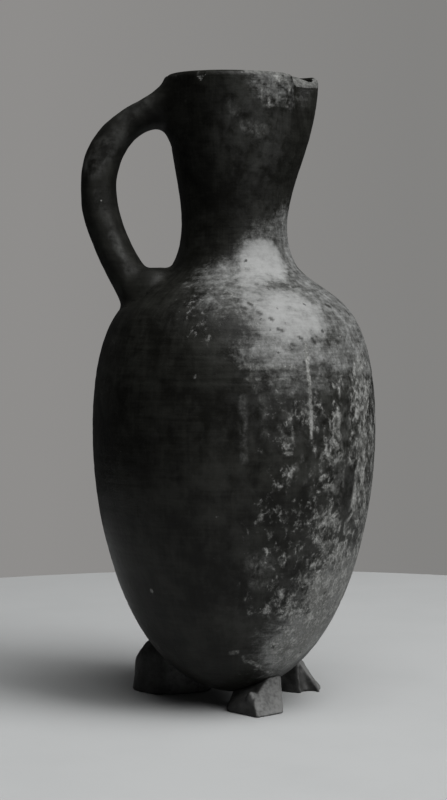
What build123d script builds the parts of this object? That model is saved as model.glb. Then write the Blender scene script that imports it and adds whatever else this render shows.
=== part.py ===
from build123d import *
import math
import os

# Oinochoe jug of dark burnished ware, standing on three pressed lumps of clay.
# Millimetres, +Z up. The origin is on the table, straight under the jug's upright axis.
# The handle is towards -X and the pouring lip towards +X.

# Plain outline of the vessel. Its rises stack up from the underside, and its radii are about
# the upright axis.
underside_height = 5.0
belly_rise = 102.0
belly_radius = 56.5
shoulder_rise = 68.5
neck_joint_radius = 25.4
throat_rise = 16.0
waist_radius = 20.9
neck_rise = 60.0
mouth_radius = 27.5

# Wall, measured square to the surface.
base_wall = 7.0
belly_wall = 5.0
neck_wall = 4.4
rim_wall = 3.6

# Bevelled lap joints between the built-up sections: the lower one's rise above the underside,
# the upper one's above the belly, and the rise of the bevel across a wall.
base_seam_rise = 37.0
shoulder_seam_rise = 25.5
lap_rise = 3.0

# Pinched mouth: the lip that pours, which starts just under the waist, and the two finger
# dents beside it.
spout_start_drop = 7.5
spout_reach = 6.2
spout_spread_low = 60.0
spout_spread_top = 13.0
pinch_depth = 3.6
pinch_angle = 21.0
pinch_spread = 9.5
pinch_drop = 22.0
rim_tilt = 1.0
lip_round = 1.3

# Old damage on the lip: one large chip beside the spout and one small flake.
chip_ball_radius = 15.0
chip_angle = -25.0
chip_ball_outset = 3.5
chip_depth = 5.0
flake_ball_radius = 5.0
flake_angle = -118.0
flake_depth = 2.6
flake_bite = 1.2

# Handle: an oval coil. Its seat on the neck lies under the rim, its crown lower still, with
# room for the fingers, and its foot stands on the shoulder, under the neck joint.
handle_seat_drop = 14.6
handle_crown_drop = 29.4
finger_gap = 24.7
handle_foot_drop = 10.5
handle_thickness = 14.4
handle_width = 20.5
handle_root_depth = 6.0

# Clay pressed on at the handle's two ends: a web up to the lip, and a mound round the foot
# that leans in towards the neck and comes up level with its joint.
web_thickness = 11.0
web_lip_width = 27.0
web_lip_drop = 4.4
web_lip_inset = 4.6
pad_length = 26.5
pad_width = 34.0
pad_lean = 7.6
pad_bury = 16.0

# Clay lumps under the vessel: each one's angle about the axis, its size, and how far its
# middle stands out from the vessel's outline at the height of its top.
left_foot_angle = 135.0
left_foot_outreach = 6.2
left_foot_radius = 15.5
left_foot_height = 24.0
front_foot_angle = -62.0
front_foot_outreach = -6.5
front_foot_radius = 11.5
front_foot_height = 17.0
back_foot_angle = 50.0
back_foot_outreach = 12.7
back_foot_radius = 11.5
back_foot_height = 15.5

# One overrun serves every cut that has to pass through a surface.
overrun = 10.0

# Vessel outline between the underside and the belly: share of the belly's radius, and
# share of the rise from the underside to the belly.
lower_body_shares = [(0.347, 0.064), (0.617, 0.214), (0.827, 0.449), (0.951, 0.713)]

# Between the belly and the neck joint: share of the way out from the joint's radius to the
# belly's, and share of the rise from the belly to the joint.
upper_body_shares = [(0.923, 0.460), (0.803, 0.635), (0.670, 0.745), (0.350, 0.872)]

# Between the waist and the rim: share of the way out from the waist's radius to the
# mouth's, and share of the rise.
upper_neck_shares = [(0.250, 0.300), (0.570, 0.500), (0.910, 0.790)]

# Handle's middle line above its crown: share of the way out from the neck to the crown,
# share of the rise from the crown to the seat, share of the thickness, share of the width.
upper_handle_shares = [
    (0.304, 0.949, 0.83, 1.10),
    (0.580, 0.833, 0.82, 1.03),
    (0.815, 0.602, 0.90, 1.00),
    (0.960, 0.316, 0.98, 1.00),
    (1.000, 0.000, 1.00, 1.00),
]

# The same below the crown: share of the way out from the foot to the crown, share of the
# rise from the foot to the crown, then thickness and width.
lower_handle_shares = [
    (0.922, 0.762, 1.00, 1.00),
    (0.712, 0.513, 1.00, 1.02),
    (0.405, 0.287, 1.03, 1.05),
    (0.157, 0.109, 1.10, 1.10),
]

# Web at the lip: share of its run up from the handle, and share of the way from the
# handle's width to the web's width at the lip.
web_width_shares = [(-0.10, -0.60), (0.45, -0.05), (1.00, 1.00)]

# Side of the mound at the handle's foot: share of the drop from its top, and plan share.
pad_side_shares = [(1.00, 1.00), (0.55, 0.90), (0.20, 0.76), (0.00, 0.60)]

# Plan of each lump: radius shares at even steps of angle, from its outward direction.
left_foot_shares = [1.00, 1.00, 0.92, 0.80, 0.90, 1.15, 1.05, 0.96, 0.94, 0.97]
front_foot_shares = [0.94, 1.02, 0.92, 0.95, 1.05, 1.15, 1.05, 0.98, 0.98, 1.10]
back_foot_shares = [0.92, 0.90, 0.92, 1.00, 1.20, 1.38, 1.10, 0.84, 1.00, 1.24]

# Side of a lump: height share, plan share, and the lean towards the axis as a share of
# its radius.
lump_side_shares = [(0.00, 1.00, 0.00), (0.45, 0.98, 0.05), (0.80, 0.83, 0.18), (1.00, 0.53, 0.38)]

# Heights of the neck's sections, between the waist and where the lip starts to round, and
# then up the rounding.
neck_height_shares = [0.00, 0.18, 0.34, 0.48, 0.62, 0.76, 0.88, 1.00]
lip_height_shares = [0.00, 0.55, 0.88, 1.00]

# How finely the curves are worked out.
wall_steps = 26
mouth_steps = 36
halving_steps = 40

# Heights above the table and distances from the axis that follow from the sizes above.
belly_height = underside_height + belly_rise
neck_joint_height = belly_height + shoulder_rise
waist_height = neck_joint_height + throat_rise
rim_height = waist_height + neck_rise
base_seam_height = underside_height + base_seam_rise
shoulder_seam_height = belly_height + shoulder_seam_rise
spout_start_height = waist_height - spout_start_drop
handle_seat_height = rim_height - handle_seat_drop
handle_crown_height = handle_seat_height - handle_crown_drop
handle_foot_height = neck_joint_height - handle_foot_drop


def blend(low, high, share):
    return low + (high - low)*share


def outline_line():
    """Plain outer outline in the XZ plane, from the lowest point up to the rim."""
    points = [(0, 0, underside_height)]
    for radius_share, height_share in lower_body_shares:
        points.append((belly_radius*radius_share, 0, underside_height + belly_rise*height_share))
    points.append((belly_radius, 0, belly_height))
    for radius_share, height_share in upper_body_shares:
        radius = blend(neck_joint_radius, belly_radius, radius_share)
        points.append((radius, 0, belly_height + shoulder_rise*height_share))
    points.append((neck_joint_radius, 0, neck_joint_height))
    points.append((waist_radius, 0, waist_height))
    for radius_share, height_share in upper_neck_shares:
        radius = blend(waist_radius, mouth_radius, radius_share)
        points.append((radius, 0, waist_height + neck_rise*height_share))
    points.append((mouth_radius, 0, rim_height))
    return Spline(*points, tangents=[(1, 0, 0), (0, 0, 1)], tangent_scalars=[1, 1])


def wall_at(height):
    """Wall thickness at a height, straight between the four named walls."""
    stations = [
        (underside_height, base_wall),
        (belly_height, belly_wall),
        (waist_height, neck_wall),
        (rim_height, rim_wall),
    ]
    for (low, low_wall), (high, high_wall) in zip(stations, stations[1:]):
        if height <= high:
            return blend(low_wall, high_wall, (height - low)/(high - low))
    return rim_wall


def inner_line(outline):
    """Inner outline: the outer one moved in by the wall, square to the surface."""
    points = []
    for step in range(wall_steps + 1):
        place = outline @ (step/wall_steps)
        along = outline % (step/wall_steps)
        inward = Vector(-along.Z, 0, along.X)
        points.append(place + inward*wall_at(place.Z))
    points[0] = Vector(0, 0, underside_height + base_wall)
    return Spline(*points, tangents=[(1, 0, 0), (0, 0, 1)], tangent_scalars=[1, 1])


def share_at_height(line, height):
    """Share of the line's length at which it reaches a height, by halving."""
    low = 0.0
    high = 1.0
    for _ in range(halving_steps):
        middle = (low + high)/2
        if (line @ middle).Z < height:
            low = middle
        else:
            high = middle
    return low


def radius_at(line, height):
    return (line @ share_at_height(line, height)).X


def turned(line, top):
    """Solid of revolution under a line that starts on the axis, cut flat at a height."""
    start = line @ 0
    end = line @ 1
    axis_top = Vector(0, 0, end.Z)
    face = make_face(Wire([line, Line(end, axis_top), Line(axis_top, start)]))
    solid = revolve(face, axis=Axis.Z)
    reach = belly_radius + overrun
    keep = Pos(0, 0, underside_height - overrun)*Cylinder(
        reach, top - underside_height + overrun, align=(Align.CENTER, Align.CENTER, Align.MIN)
    )
    return solid & keep


def below_lap(line, height):
    """Everything under a bevelled lap joint that leaves the outside at a height."""
    radius = radius_at(line, height)
    slope = lap_rise/wall_at(height)
    reach = belly_radius + overrun
    floor = underside_height - overrun
    corners = [
        (0, 0, floor),
        (reach, 0, floor),
        (reach, 0, height + slope*(reach - radius)),
        (0, 0, height - slope*radius),
    ]
    return revolve(make_face(Polyline(*corners, close=True)), axis=Axis.Z)


def mouth_offset(height, angle):
    """How far the mouth stands out from, or in behind, the plain round neck."""
    climb = max((height - spout_start_height)/(rim_height - spout_start_height), 0)
    rise = (1 - math.cos(math.pi*climb))/2
    spread = blend(spout_spread_low, spout_spread_top, rise)
    lip = spout_reach*rise*math.exp(-((angle/spread)**2))
    near_rim = min(max((height - rim_height + pinch_drop)/pinch_drop, 0), 1)
    near_rim = near_rim*near_rim*(3 - 2*near_rim)
    dent = pinch_depth*near_rim*math.exp(-(((abs(angle) - pinch_angle)/pinch_spread)**2))
    return lip - dent


def neck_section(radius, height):
    """Closed curve round the neck at a height: the plain radius with the pinched mouth."""
    rise = max((height - waist_height)/neck_rise, 0)
    fall = math.tan(math.radians(rim_tilt*rise))
    points = []
    for step in range(mouth_steps):
        angle = 360*step/mouth_steps - 180
        reach = radius + mouth_offset(height, angle)
        turn = math.radians(angle)
        x = reach*math.cos(turn)
        points.append((x, reach*math.sin(turn), height - x*fall))
    return make_face(Wire([Spline(*points, periodic=True)]))


def neck_solid(line, lip_side):
    """Solid through neck sections on a line, its lip rounded in (-1) or out (+1)."""
    lip_start = rim_height - lip_round
    heights = [neck_joint_height - 2*lap_rise, neck_joint_height, spout_start_height]
    heights += [blend(waist_height, lip_start, share) for share in neck_height_shares]
    body = loft([neck_section(radius_at(line, height), height) for height in heights])
    lip_sections = []
    for share in lip_height_shares:
        height = lip_start + lip_round*share
        turn_in = lip_round*(1 - math.sqrt(1 - share*share))
        radius = radius_at(line, height) + lip_side*turn_in
        lip_sections.append(neck_section(radius, height))
    return body + loft(lip_sections, ruled=True)


def lip_damage():
    """Balls that bite the large chip and the small flake out of the lip."""
    chip_turn = math.radians(chip_angle)
    chip_distance = mouth_radius + chip_ball_outset
    chip = Pos(
        chip_distance*math.cos(chip_turn),
        chip_distance*math.sin(chip_turn),
        rim_height - chip_depth + chip_ball_radius,
    )*Sphere(chip_ball_radius)
    flake_turn = math.radians(flake_angle)
    flake_distance = mouth_radius + flake_ball_radius - flake_bite
    flake = Pos(
        flake_distance*math.cos(flake_turn),
        flake_distance*math.sin(flake_turn),
        rim_height - flake_depth/2,
    )*Sphere(flake_ball_radius)
    return [chip, flake]


def make_neck(outer, inner, outline):
    neck = outer - inner - below_lap(outline, neck_joint_height)
    for ball in lip_damage():
        neck = neck - ball
    return neck


def handle_stations(outline):
    """Middle line of the handle with its section sizes: (x, z, thickness, width)."""
    crown = radius_at(outline, handle_crown_height) + finger_gap + handle_thickness/2
    seat = radius_at(outline, handle_seat_height)
    foot = radius_at(outline, handle_foot_height)
    stations = []
    for out_share, rise_share, thick_share, width_share in upper_handle_shares:
        x = -blend(seat, crown, out_share)
        z = blend(handle_crown_height, handle_seat_height, rise_share)
        stations.append((x, z, handle_thickness*thick_share, handle_width*width_share))
    for out_share, rise_share, thick_share, width_share in lower_handle_shares:
        x = -blend(foot, crown, out_share)
        z = blend(handle_foot_height, handle_crown_height, rise_share)
        stations.append((x, z, handle_thickness*thick_share, handle_width*width_share))
    return stations


def handle_solid(outline):
    """Oval coil through the stations, with both ends run into the vessel's wall."""
    stations = handle_stations(outline)
    line = Spline(*[(x, 0, z) for x, z, _, _ in stations])
    sections = []
    for x, z, thickness, width in stations:
        along = line % line.param_at_point((x, 0, z))
        plane = Plane(origin=(x, 0, z), x_dir=(0, 1, 0), z_dir=along)
        sections.append(plane*Ellipse(width/2, thickness/2))
    top_x, _, top_thickness, top_width = stations[0]
    _, foot_z, foot_thickness, foot_width = stations[-1]
    top_run = handle_root_depth - top_x - radius_at(outline, handle_seat_height)
    foot_run = handle_root_depth + foot_z - handle_foot_height
    top_plane = Plane(origin=line @ 0 - (line % 0)*top_run, x_dir=(0, 1, 0), z_dir=line % 0)
    foot_plane = Plane(origin=line @ 1 + (line % 1)*foot_run, x_dir=(0, 1, 0), z_dir=line % 1)
    sections.insert(0, top_plane*Ellipse(top_width/2, top_thickness/2))
    sections.append(foot_plane*Ellipse(foot_width/2, foot_thickness/2))
    return loft(sections)


def upper_root_solid(outline):
    """Web of clay that runs up from the top of the handle to the lip."""
    x, z, _, width = handle_stations(outline)[0]
    foot = Vector(x, 0, z)
    lip = Vector(web_lip_inset - mouth_radius, 0, rim_height - web_lip_drop)
    along = lip - foot
    sections = []
    for run_share, width_share in web_width_shares:
        across = blend(width, web_lip_width, width_share)
        plane = Plane(origin=foot + along*run_share, x_dir=(0, 1, 0), z_dir=along)
        sections.append(plane*Ellipse(across/2, web_thickness/2))
    return loft(sections)


def lower_root_solid(outline):
    """Oval mound of clay smeared on the shoulder round the foot of the handle."""
    middle = pad_lean - radius_at(outline, handle_foot_height)
    sections = []
    for drop_share, plan_share in pad_side_shares:
        plan = Ellipse(pad_length*plan_share/2, pad_width*plan_share/2)
        sections.append(Pos(middle, 0, neck_joint_height - pad_bury*drop_share)*plan)
    return loft(sections)


def lump_solid(angle, distance, radius, height, plan_shares):
    """Hand-pressed lump, flat on the table, that leans in under the vessel."""
    sections = []
    steps = len(plan_shares)
    turn = math.radians(angle)
    for height_share, size_share, lean_share in lump_side_shares:
        reach = distance - radius*lean_share
        points = []
        for step, plan_share in enumerate(plan_shares):
            around = turn + 2*math.pi*step/steps
            side = radius*size_share*plan_share
            x = reach*math.cos(turn) + side*math.cos(around)
            y = reach*math.sin(turn) + side*math.sin(around)
            points.append((x, y, height*height_share))
        sections.append(make_face(Wire([Spline(*points, periodic=True)])))
    return loft(sections)


def build_parts():
    outline = outline_line()
    inside = inner_line(outline)
    vessel = turned(outline, waist_height)
    shell = vessel - turned(inside, waist_height)
    base_zone = below_lap(outline, base_seam_height)
    belly_zone = below_lap(outline, shoulder_seam_height)
    shoulder_zone = below_lap(outline, neck_joint_height)
    neck_outer = neck_solid(outline, -1)
    neck_inner = neck_solid(inside, 1)
    parts = {
        "base": shell & base_zone,
        "belly": (shell & belly_zone) - base_zone,
        "shoulder": (shell & shoulder_zone) - belly_zone,
        "neck": make_neck(neck_outer, neck_inner, outline),
    }
    handle = handle_solid(outline)
    parts["handle"] = handle - vessel - neck_outer
    parts["handle_upper_root"] = upper_root_solid(outline) - handle - neck_outer
    parts["handle_lower_root"] = lower_root_solid(outline) - vessel - handle
    feet = [
        ("foot_left", left_foot_angle, left_foot_outreach, left_foot_radius,
         left_foot_height, left_foot_shares),
        ("foot_front", front_foot_angle, front_foot_outreach, front_foot_radius,
         front_foot_height, front_foot_shares),
        ("foot_back", back_foot_angle, back_foot_outreach, back_foot_radius,
         back_foot_height, back_foot_shares),
    ]
    for name, angle, outreach, radius, height, plan_shares in feet:
        distance = radius_at(outline, height) + outreach
        parts[name] = lump_solid(angle, distance, radius, height, plan_shares) - vessel
    return parts


os.makedirs("parts", exist_ok=True)
for node, shape in build_parts().items():
    export_step(shape, f"parts/{node}.step")
    print(node, "volume", round(shape.volume), "solids", len(shape.solids()))
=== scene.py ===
# %% [markdown]
# # A dark burnished jug on three lumps of clay
#
# The real thing is a wine jug, about 250 mm tall, built up from sections of dark clay. The
# potter rubbed its slip to a shine with a pebble. Long burial has left a pale film on the
# shoulder, whitish crust down one side, pits, and a chip beside the pouring lip. It has a
# rounded base, so three lumps of clay hold it upright.
#
# The CAD model fixes every size and place. This file gives each piece its finished surface:
# the vessel's wall as four rings of one dense skin, the handle and the lumps as fields of
# distance that melt into each other like clay, and a shader that ages them.

# %% Load the frame
import math
import bpy
import numpy as np
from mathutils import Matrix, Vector, noise


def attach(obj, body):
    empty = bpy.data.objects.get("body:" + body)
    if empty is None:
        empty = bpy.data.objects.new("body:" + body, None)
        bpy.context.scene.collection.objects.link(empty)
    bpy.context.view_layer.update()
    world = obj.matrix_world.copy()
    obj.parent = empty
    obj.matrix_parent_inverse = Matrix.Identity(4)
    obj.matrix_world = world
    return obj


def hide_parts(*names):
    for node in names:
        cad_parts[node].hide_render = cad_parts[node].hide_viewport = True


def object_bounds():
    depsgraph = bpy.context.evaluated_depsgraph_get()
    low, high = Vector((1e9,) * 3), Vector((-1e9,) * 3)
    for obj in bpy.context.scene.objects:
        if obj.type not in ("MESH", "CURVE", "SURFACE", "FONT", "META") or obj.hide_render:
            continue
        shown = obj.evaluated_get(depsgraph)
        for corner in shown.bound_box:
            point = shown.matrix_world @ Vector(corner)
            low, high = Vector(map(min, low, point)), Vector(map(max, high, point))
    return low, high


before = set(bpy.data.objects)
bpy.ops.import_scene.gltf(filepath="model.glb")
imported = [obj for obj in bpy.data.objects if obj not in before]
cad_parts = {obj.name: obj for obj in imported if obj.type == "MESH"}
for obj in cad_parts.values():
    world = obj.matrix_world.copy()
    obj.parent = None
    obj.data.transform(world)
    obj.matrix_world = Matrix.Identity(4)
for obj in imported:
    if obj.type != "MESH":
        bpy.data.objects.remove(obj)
cad_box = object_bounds()
mm = 0.001
print("CAD box in mm:", [[round(v/mm, 1) for v in corner] for corner in cad_box])

# %% [markdown]
# ## Camera
#
# A long lens stands level with the jug's shoulder and looks slightly down. Its place comes
# from the level of the table's far edge, from the rim, which shows from just underneath, and
# from how wide the belly looks. The sensor is fitted to the tall side of the picture.

# %% Place the camera
picture_height = 800
focal_pixels = 1889
sensor_height = 24
camera_place = Vector((-4.2, -755.6, 168.4))*mm
camera_dip = math.radians(3.484)

lens = bpy.data.cameras.new("camera")
lens.sensor_fit = "VERTICAL"
lens.sensor_height = sensor_height
lens.lens = sensor_height*focal_pixels/picture_height
camera = bpy.data.objects.new("camera", lens)
camera.location = camera_place
camera.rotation_euler = (math.pi/2 - camera_dip, 0, 0)
bpy.context.scene.collection.objects.link(camera)
bpy.context.scene.camera = camera
bpy.context.scene.view_settings.view_transform = "Standard"
print("lens", round(lens.lens, 1), "mm")

# %% [markdown]
# ## Shader maths as plain expressions
#
# A socket on its way through a material is wrapped in a small class, so that a sum of two
# masks is written as a sum and turns into a Math node by itself. Every other node, the room's
# too, comes from one method of the class after it. That method sets the node's options first,
# since some options change which sockets it has, and then joins or fills the sockets.

# %% Sockets that add up
class Wire:
    """A value inside a material. Arithmetic on it adds Math nodes."""

    def __init__(self, finish, socket):
        self.finish = finish
        self.socket = socket

    def math(self, operation, first, second=0.0):
        return self.finish.node("Math", {"operation": operation}, {0: first, 1: second})

    def __add__(self, other):
        return self.math("ADD", self, other)

    def __radd__(self, other):
        return self.math("ADD", other, self)

    def __sub__(self, other):
        return self.math("SUBTRACT", self, other)

    def __rsub__(self, other):
        return self.math("SUBTRACT", other, self)

    def __mul__(self, other):
        return self.math("MULTIPLY", self, other)

    def __rmul__(self, other):
        return self.math("MULTIPLY", other, self)

    def __truediv__(self, other):
        return self.math("DIVIDE", self, other)

    def __pow__(self, other):
        return self.math("POWER", self, other)

    def at_most(self, other):
        return self.math("MINIMUM", self, other)

    def at_least(self, other):
        return self.math("MAXIMUM", self, other)

    def swing(self, depth):
        """Noise from 0 to 1, turned into a swing about zero."""
        return (self - 0.5)*depth


# %% [markdown]
# ## Nodes from one method
#
# A finish is a material, or the room's world, while its nodes are being joined up. The few
# kinds of node that this jug needs often get a short name of their own: cloudy noise, strewn
# points, a soft ramp, a colour between two colours, and a normal that is bent by a height.

# %% Finish under construction
class Finish:
    """The nodes of a material, or of the world, under construction."""

    def __init__(self, owner):
        self.owner = owner
        owner.use_nodes = True
        self.tree = owner.node_tree
        self.tree.nodes.clear()

    def node(self, kind, options=None, sockets=None, output=0):
        made = self.tree.nodes.new("ShaderNode" + kind)
        for option, value in (options or {}).items():
            setattr(made, option, value)
        for socket, value in (sockets or {}).items():
            if isinstance(value, Wire):
                self.tree.links.new(value.socket, made.inputs[socket])
            else:
                made.inputs[socket].default_value = value
        return Wire(self, made.outputs[output]) if len(made.outputs) else None

    def place(self):
        """The point on the object, in millimetres."""
        point = self.node("TexCoord", output="Object")
        return self.node("VectorMath", {"operation": "SCALE"}, {0: point, "Scale": 1/mm})

    def parts(self, point):
        """The x, y and z of a point."""
        split = self.node("SeparateXYZ", None, {0: point}).socket.node
        return [Wire(self, output) for output in split.outputs]

    def painted(self, layer):
        """A mask that was painted on the mesh's points."""
        return self.node("Attribute", {"attribute_name": layer}, output="Fac")

    def cloud(self, where, size, detail=4.0, roughness=0.55, swirl=0.0):
        """Cloudy noise from 0 to 1 whose largest blotches are about this size."""
        sockets = {"Vector": where, "Scale": 1/size, "Detail": detail, "Roughness": roughness}
        sockets["Distortion"] = swirl
        return self.node("TexNoise", {"noise_dimensions": "3D"}, sockets)

    def scatter(self, where, size):
        """Distance to the nearest of points that are strewn about this far apart."""
        sockets = {"Vector": where, "Scale": 1/size, "Randomness": 1.0}
        return self.node("TexVoronoi", {"feature": "F1"}, sockets, output="Distance")

    def step(self, value, low, high):
        """0 below low, 1 above high, and a soft ramp between them."""
        options = {"interpolation_type": "SMOOTHSTEP"}
        return self.node("MapRange", options, {"Value": value, "From Min": low, "From Max": high})

    def blend(self, share, first, second):
        """Colour between two colours."""
        return self.node("Mix", {"data_type": "RGBA"}, {0: share, 6: first, 7: second}, output=2)

    def bump(self, height, strength, distance=1.0):
        """Normal that is bent by a height, which is taken in units of the distance in mm."""
        sockets = {"Strength": strength, "Distance": distance*mm, "Height": height}
        return self.node("Bump", None, sockets)

    def shade(self, colour, roughness, normal, **rest):
        sockets = {"Base Color": colour, "Roughness": roughness, "Normal": normal}
        sockets.update(rest)
        surface = self.node("BsdfPrincipled", None, sockets)
        self.node("OutputMaterial", None, {"Surface": surface})
        print(self.owner.name, "has", len(self.tree.nodes), "nodes")
        return self.owner


# %% [markdown]
# ## Table
#
# The jug stands on a round, pale table top. A plain disc would do from above, but its rolled
# edge shows at the horizon, so the disc is a stack of rings whose outer ones follow a half
# circle. Its finish is nearly even, with a faint mottle, so that shadows stay readable on it.

# %% Table top
table_radius = 357*mm
table_middle = Vector((8, 4, 0))*mm
table_thickness = 14*mm
table_turns = 180
ring_shares = [0.02, 0.5]


def table_top():
    """Round plate with a rolled edge, its upper face at height zero."""
    rolled = table_thickness/2
    rim_steps = 9
    rings = [(share*table_radius, 0.0) for share in ring_shares]
    for step in range(rim_steps):
        turn = math.pi*step/(rim_steps - 1)
        radius = table_radius - rolled + rolled*math.sin(turn)
        rings.append((radius, -rolled + rolled*math.cos(turn)))
    rings.append((ring_shares[0]*table_radius, -table_thickness))
    points = []
    for radius, height in rings:
        for step in range(table_turns):
            turn = 2*math.pi*step/table_turns
            points.append((radius*math.cos(turn), radius*math.sin(turn), height))
    faces = [list(range(table_turns))]
    for ring in range(len(rings) - 1):
        for step in range(table_turns):
            near = ring*table_turns + step
            far = ring*table_turns + (step + 1) % table_turns
            faces.append((near, near + table_turns, far + table_turns, far))
    last = (len(rings) - 1)*table_turns
    faces.append([last + step for step in reversed(range(table_turns))])
    mesh = bpy.data.meshes.new("table_top")
    mesh.from_pydata(points, [], faces)
    mesh.shade_smooth()
    made = bpy.data.objects.new("table_top", mesh)
    made.location = table_middle
    return made


table = table_top()
bpy.context.scene.collection.objects.link(table)
print("table top", round(2*table_radius/mm), "mm across")

# %% Table finish
table_grey = (0.365, 0.372, 0.373, 1)
table_mark = (0.350, 0.357, 0.358, 1)

card = Finish(bpy.data.materials.new("table_card"))
where = card.place()
mottle = card.cloud(where, 60, detail=6)
grain = card.cloud(where, 0.8, detail=2)
relief = card.bump(grain, strength=0.15, distance=0.1)
colour = card.blend(card.step(mottle, 0.35, 0.75), table_grey, table_mark)
table.data.materials.append(card.shade(colour, 0.8, relief))

# %% [markdown]
# ## Light and room
#
# The bright patches on the shoulder and at the neck's foot show a tall skylight to the right,
# in front and high up. The soft, short shadow shows a second, wider light above and in front.
# The grey room is the world's own colour, which only the camera sees; what falls on the jug
# from it is far dimmer, so that the dark side stays dark.

# %% Skylight and ceiling light
def soft_light(name, towards, distance, width, height, power):
    """Flat rectangular light at a distance from the jug's middle, facing it."""
    middle = Vector((0, 0, cad_box[1].z/2))
    lamp = bpy.data.lights.new(name, "AREA")
    lamp.shape = "RECTANGLE"
    lamp.size = width
    lamp.size_y = height
    lamp.energy = power
    thing = bpy.data.objects.new(name, lamp)
    thing.location = middle + Vector(towards).normalized()*distance
    thing.rotation_euler = (middle - thing.location).to_track_quat("-Z", "Y").to_euler()
    bpy.context.scene.collection.objects.link(thing)
    print(name, width, "x", height, "m,", power, "W")


soft_light("skylight", towards=(0.57, -0.41, 0.76), distance=2.8, width=1.35, height=3.2, power=97)
soft_light("ceiling", towards=(0.20, -0.42, 0.90), distance=2.6, width=2.4, height=2.4, power=60)

# %% Room
room_left = (0.272, 0.266, 0.260, 1)
room_right = (0.226, 0.223, 0.217, 1)
room_light = (0.030, 0.030, 0.030, 1)
turn_width = 0.1

world = bpy.data.worlds.new("room")
bpy.context.scene.world = world
room = Finish(world)
sideways = room.parts(room.node("TexCoord", output="Generated"))[0]
side = room.node("MapRange", None, {"Value": sideways, "From Min": -turn_width, "From Max": turn_width})
seen = room.node("Background", None, {"Color": room.blend(side, room_left, room_right)})
fill = room.node("Background", None, {"Color": room_light})
to_camera = room.node("LightPath", output="Is Camera Ray")
either = room.node("MixShader", None, {0: to_camera, 1: fill, 2: seen})
room.node("OutputWorld", None, {"Surface": either})
print("room has", len(room.tree.nodes), "nodes")

# %% [markdown]
# ## The vessel's outline
#
# A thrown or coiled pot has one clean outline. The CAD model gives it as a few points with a
# smooth curve through them, so the same points are used here, with the same kind of curve: a
# cubic spline that is smooth in its bend, level at the foot and upright at the rim. Only the
# rim is set 0.8 mm lower, where the finished picture showed it.

# %% Outline points
outline_points = np.array([
    (0.0, 5.0), (19.6, 11.5), (34.9, 26.8), (46.7, 50.8), (53.7, 77.7), (56.5, 107.0),
    (54.1, 138.5), (50.4, 150.5), (46.2, 158.0), (36.3, 166.7), (25.4, 175.5), (20.9, 191.5),
    (22.55, 209.5), (24.66, 221.5), (26.9, 238.9), (27.45, 250.7),
])
foot_direction = (1.0, 0.0)
rim_direction = (0.0, 1.0)
outline_samples = 3000


def smooth_through(points, start, end, samples):
    """Points on the smooth cubic curve through the given points, evenly spaced."""
    count = len(points)
    spans = np.linalg.norm(np.diff(points, axis=0), axis=1)
    slopes = np.diff(points, axis=0)/spans[:, None]
    system = np.zeros((count, count))
    right = np.zeros((count, 2))
    system[0, 0] = system[-1, -1] = 1
    right[0] = start
    right[-1] = end
    for i in range(1, count - 1):
        system[i, i - 1] = spans[i]
        system[i, i] = 2*(spans[i - 1] + spans[i])
        system[i, i + 1] = spans[i - 1]
        right[i] = 3*(spans[i]*slopes[i - 1] + spans[i - 1]*slopes[i])
    pull = np.linalg.solve(system, right)
    knots = np.concatenate([[0], np.cumsum(spans)])
    along = np.linspace(0, knots[-1], samples)
    span = np.clip(np.searchsorted(knots, along) - 1, 0, count - 2)
    t = ((along - knots[span])/spans[span])[:, None]
    reach = spans[span][:, None]
    return (
        (1 + 2*t)*(1 - t)**2*points[span] + t*(1 - t)**2*reach*pull[span]
        + t**2*(3 - 2*t)*points[span + 1] - t**2*(1 - t)*reach*pull[span + 1]
    )


outline = smooth_through(outline_points, foot_direction, rim_direction, outline_samples)
rim_height = outline_points[-1][1]
print("outline length", round(float(np.linalg.norm(np.diff(outline, axis=0), axis=1).sum())), "mm")

# %% Wall and inner outline
wall_heights = [5.0, 107.0, 191.5, 250.7]
wall_sizes = [7.0, 5.0, 4.4, 3.6]

run = np.gradient(outline, axis=0)
run /= np.linalg.norm(run, axis=1)[:, None]
wall = np.interp(outline[:, 1], wall_heights, wall_sizes)
inside = outline + np.stack([-run[:, 1], run[:, 0]], axis=1)*wall[:, None]
inside = inside[inside[:, 0] > 0]
inside = inside[np.argsort(inside[:, 1])]
print("inner bottom at", round(float(inside[0, 1]), 1), "mm")

# %% [markdown]
# ## The pinched mouth
#
# While the clay was soft the potter drew one point of the rim out into a lip and pressed a
# finger in at each side of it. Both are offsets to the radius that fade downwards: the lip
# starts under the waist as a broad swelling and narrows as it climbs. Drawing it out also
# lifted the rim a little there and left its edge thinner.

# %% Mouth offsets
spout_start = 184.0
spout_reach = 6.2
spout_spread_low = 60.0
spout_spread_top = 13.0
pinch_depth = 2.1
pinch_angle = 21.0
pinch_spread = 11.0
pinch_drop = 26.0
spout_lift = 0.7
lift_spread = 40.0
lip_thinning = 1.2
thinning_spread = 18.0
rim_tilt = math.tan(math.radians(1.0))
waist_height = 191.5


def ease(value):
    """Soft step from 0 to 1."""
    value = np.clip(value, 0, 1)
    return value*value*(3 - 2*value)


def bell(value, spread):
    """1 at zero, falling off evenly to both sides."""
    return np.exp(-(value/spread)**2)


def near_rim(height):
    """0 where the pinch starts, 1 at the rim."""
    return ease((height - rim_height + pinch_drop)/pinch_drop)


def rim_rise(height, angle):
    """How far the mouth's edge is lifted at a point: a little, at the lip."""
    return spout_lift*near_rim(height)*bell(angle, lift_spread)


def mouth_offset(height, angle):
    """Outward offset of the wall at a height and an angle in degrees from the lip."""
    climb = np.clip((height - spout_start)/(rim_height - spout_start), 0, 1)
    rise = (1 - np.cos(math.pi*climb))/2
    spread = spout_spread_low + (spout_spread_top - spout_spread_low)*rise
    dent = pinch_depth*near_rim(height)*bell(np.abs(angle) - pinch_angle, pinch_spread)
    return spout_reach*rise*bell(angle, spread) - dent


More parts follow.
